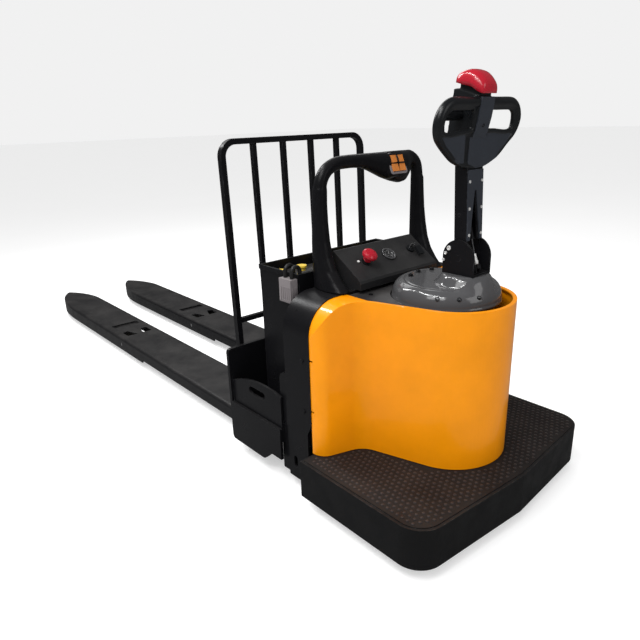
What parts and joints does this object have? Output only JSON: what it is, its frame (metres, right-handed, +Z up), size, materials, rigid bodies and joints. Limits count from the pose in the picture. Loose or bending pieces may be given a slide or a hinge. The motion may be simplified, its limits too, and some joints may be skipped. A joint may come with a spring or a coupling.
{
  "type": "electric pallet truck",
  "caption": "Electric pallet truck with long low-lift forks, a load backrest, a battery, a rider platform and a steering tiller.",
  "frame": {"origin": "on the floor, in the middle of the truck's length and width", "axes": "+X from the battery to the operator platform, the forks point to -X; +Y across the truck, to its right-hand side seen from the forks; +Z up"},
  "size_m": [3.0026, 0.79, 1.1785],
  "materials": {
    "black_paint": "semi-gloss powder coat",
    "amber_paint": "gloss",
    "dark_plastic": "fine grain",
    "gloss_cover": "gloss",
    "mat_rubber": "studded",
    "steel": "satin",
    "tyre_rubber": "matt",
    "roller_pu": "satin",
    "red_plastic": "gloss",
    "orange_plastic": "satin",
    "yellow_plastic": "gloss",
    "grey_plastic": "matt",
    "cable_rubber": "matt",
    "lamp_white": "clear"
  },
  "bodies": {
    "chassis": {"chassis_frame": "black_paint", "platform_frame": "black_paint", "platform_mat": "mat_rubber", "hood": "amber_paint", "top_cover": "dark_plastic", "panel_box": "black_paint", "panel_gauge": "dark_plastic", "estop_base": "dark_plastic", "key_switch": "steel", "indicator_lamp": "lamp_white", "grab_bar": "black_paint", "button_pod": "dark_plastic", "lift_cylinder": "black_paint", "pump_unit": "dark_plastic", "controller": "steel", "chassis_screws": "steel"},
    "lift_frame": {"lift_carriage": "black_paint", "fork_left": "black_paint", "fork_right": "black_paint", "backrest": "black_paint", "battery_case": "black_paint", "battery_cells": "dark_plastic", "cell_caps": "yellow_plastic", "battery_cables": "cable_rubber", "battery_connector": "grey_plastic", "lift_rod": "steel"},
    "torsion_shaft": {"torsion_shaft": "steel"},
    "push_rod_left": {"push_rod_left": "steel"},
    "push_rod_right": {"push_rod_right": "steel"},
    "load_arm_left": {"load_arm_left": "steel"},
    "load_arm_right": {"load_arm_right": "steel"},
    "load_roller_left": {"load_roller_left": "roller_pu"},
    "load_roller_right": {"load_roller_right": "roller_pu"},
    "steering": {"drive_motor": "steel", "gearbox": "dark_plastic", "steering_column": "black_paint", "dome_cover": "gloss_cover", "tiller_bracket": "black_paint", "tilt_pin": "steel"},
    "drive_wheel": {"drive_hub": "steel", "drive_tyre": "tyre_rubber"},
    "tiller": {"tiller_arm": "black_paint", "arm_cover": "dark_plastic", "arm_screws": "steel", "tiller_head": "dark_plastic"},
    "gas_barrel": {"gas_spring_barrel": "black_paint"},
    "gas_rod": {"gas_spring_rod": "steel"},
    "estop": {"estop_button": "red_plastic"},
    "key": {"ignition_key": "steel"},
    "key_tag": {"key_tag": "dark_plastic"},
    "pod_button_1": {"pod_button_1": "orange_plastic"},
    "pod_button_2": {"pod_button_2": "orange_plastic"},
    "pod_button_3": {"pod_button_3": "orange_plastic"},
    "pod_button_4": {"pod_button_4": "orange_plastic"},
    "reverse_button": {"belly_button": "red_plastic"},
    "throttle": {"throttle": "dark_plastic"},
    "caster_left": {"caster_fork_left": "steel"},
    "caster_right": {"caster_fork_right": "steel"},
    "caster_wheel_left": {"caster_wheel_left": "tyre_rubber"},
    "caster_wheel_right": {"caster_wheel_right": "tyre_rubber"}
  },
  "joints": [
    {"name": "lift", "type": "slide", "parent": "chassis", "child": "lift_frame", "axis": [0, 0, 1], "range_m": [0, 0.115]},
    {"name": "shaft_turn", "type": "hinge", "parent": "lift_frame", "child": "torsion_shaft", "pos_m": [0.7177, 0, 0.098], "axis": [0, 1, 0], "range_deg": [0, 41.9]},
    {"name": "rod_push_left", "type": "slide", "parent": "lift_frame", "child": "push_rod_left", "axis": [-1, 0, 0], "range_m": [0, 0.0134]},
    {"name": "load_arm_swing_left", "type": "hinge", "parent": "lift_frame", "child": "load_arm_left", "pos_m": [-0.4823, -0.1925, 0.058], "axis": [0, -1, 0], "range_deg": [0, 41.9]},
    {"name": "load_roller_spin_left", "type": "hinge", "parent": "load_arm_left", "child": "load_roller_left", "pos_m": [-0.6615, -0.1925, 0.041], "axis": [0, 1, 0], "continuous": true},
    {"name": "rod_push_right", "type": "slide", "parent": "lift_frame", "child": "push_rod_right", "axis": [-1, 0, 0], "range_m": [0, 0.0134]},
    {"name": "load_arm_swing_right", "type": "hinge", "parent": "lift_frame", "child": "load_arm_right", "pos_m": [-0.4823, 0.1925, 0.058], "axis": [0, -1, 0], "range_deg": [0, 41.9]},
    {"name": "load_roller_spin_right", "type": "hinge", "parent": "load_arm_right", "child": "load_roller_right", "pos_m": [-0.6615, 0.1925, 0.041], "axis": [0, 1, 0], "continuous": true},
    {"name": "steer", "type": "hinge", "parent": "chassis", "child": "steering", "pos_m": [1.2177, 0, 0.3], "axis": [0, 0, 1], "range_deg": [-90, 90]},
    {"name": "drive_spin", "type": "hinge", "parent": "steering", "child": "drive_wheel", "pos_m": [1.2177, 0, 0.125], "axis": [0, 1, 0], "continuous": true},
    {"name": "tiller_tilt", "type": "hinge", "parent": "steering", "child": "tiller", "pos_m": [1.2792, 0, 0.724], "axis": [0, 1, 0], "range_deg": [0, 80]},
    {"name": "gas_barrel_turn", "type": "hinge", "parent": "tiller", "child": "gas_barrel", "pos_m": [1.2717, 0, 0.835], "axis": [0, 1, 0], "range_deg": [-7.6, 0]},
    {"name": "gas_rod_slide", "type": "slide", "parent": "gas_barrel", "child": "gas_rod", "axis": [-0.271, 0, 0.9626], "range_m": [0, 0.0478]},
    {"name": "estop_press", "type": "slide", "parent": "chassis", "child": "estop", "axis": [-0.5565, 0, -0.8308], "range_m": [0, 0.006]},
    {"name": "key_turn", "type": "hinge", "parent": "chassis", "child": "key", "pos_m": [0.99172, 0.11, 0.68217], "axis": [0.5565, 0, 0.8308], "range_deg": [0, 90]},
    {"name": "tag_swing", "type": "hinge", "parent": "key", "child": "key_tag", "pos_m": [1.00173, 0.115, 0.69712], "axis": [0.8308, 0, -0.5565], "range_deg": [-8, 25]},
    {"name": "pod_press_1", "type": "slide", "parent": "chassis", "child": "pod_button_1", "axis": [-0.9336, 0, -0.3584], "range_m": [0, 0.003]},
    {"name": "pod_press_2", "type": "slide", "parent": "chassis", "child": "pod_button_2", "axis": [-0.9336, 0, -0.3584], "range_m": [0, 0.003]},
    {"name": "pod_press_3", "type": "slide", "parent": "chassis", "child": "pod_button_3", "axis": [-0.9336, 0, -0.3584], "range_m": [0, 0.003]},
    {"name": "pod_press_4", "type": "slide", "parent": "chassis", "child": "pod_button_4", "axis": [-0.9336, 0, -0.3584], "range_m": [0, 0.003]},
    {"name": "reverse_press", "type": "slide", "parent": "tiller", "child": "reverse_button", "axis": [-0.1392, 0, -0.9903], "range_m": [0, 0.006]},
    {"name": "throttle_turn", "type": "hinge", "parent": "tiller", "child": "throttle", "pos_m": [1.25353, 0, 1.0757], "axis": [0, 1, 0], "range_deg": [-30, 30]},
    {"name": "caster_swivel_left", "type": "hinge", "parent": "chassis", "child": "caster_left", "pos_m": [1.3677, -0.29, 0.134], "axis": [0, 0, 1], "continuous": true},
    {"name": "caster_spin_left", "type": "hinge", "parent": "caster_left", "child": "caster_wheel_left", "pos_m": [1.3357, -0.29, 0.05], "axis": [0, 1, 0], "continuous": true},
    {"name": "caster_swivel_right", "type": "hinge", "parent": "chassis", "child": "caster_right", "pos_m": [1.3677, 0.29, 0.134], "axis": [0, 0, 1], "continuous": true},
    {"name": "caster_spin_right", "type": "hinge", "parent": "caster_right", "child": "caster_wheel_right", "pos_m": [1.3357, 0.29, 0.05], "axis": [0, 1, 0], "continuous": true}
  ],
  "couplings": [
    {"joint": "shaft_turn", "follows": "lift", "rad_per_m": 6.3363},
    {"joint": "load_arm_swing_left", "follows": "lift", "rad_per_m": 6.3363},
    {"joint": "rod_push_left", "follows": "lift", "ratio": 0.11565},
    {"joint": "load_arm_swing_right", "follows": "lift", "rad_per_m": 6.3363},
    {"joint": "rod_push_right", "follows": "lift", "ratio": 0.11565},
    {"joint": "gas_barrel_turn", "follows": "tiller_tilt", "ratio": -0.09312},
    {"joint": "gas_rod_slide", "follows": "tiller_tilt", "m_per_rad": 0.03409}
  ]
}
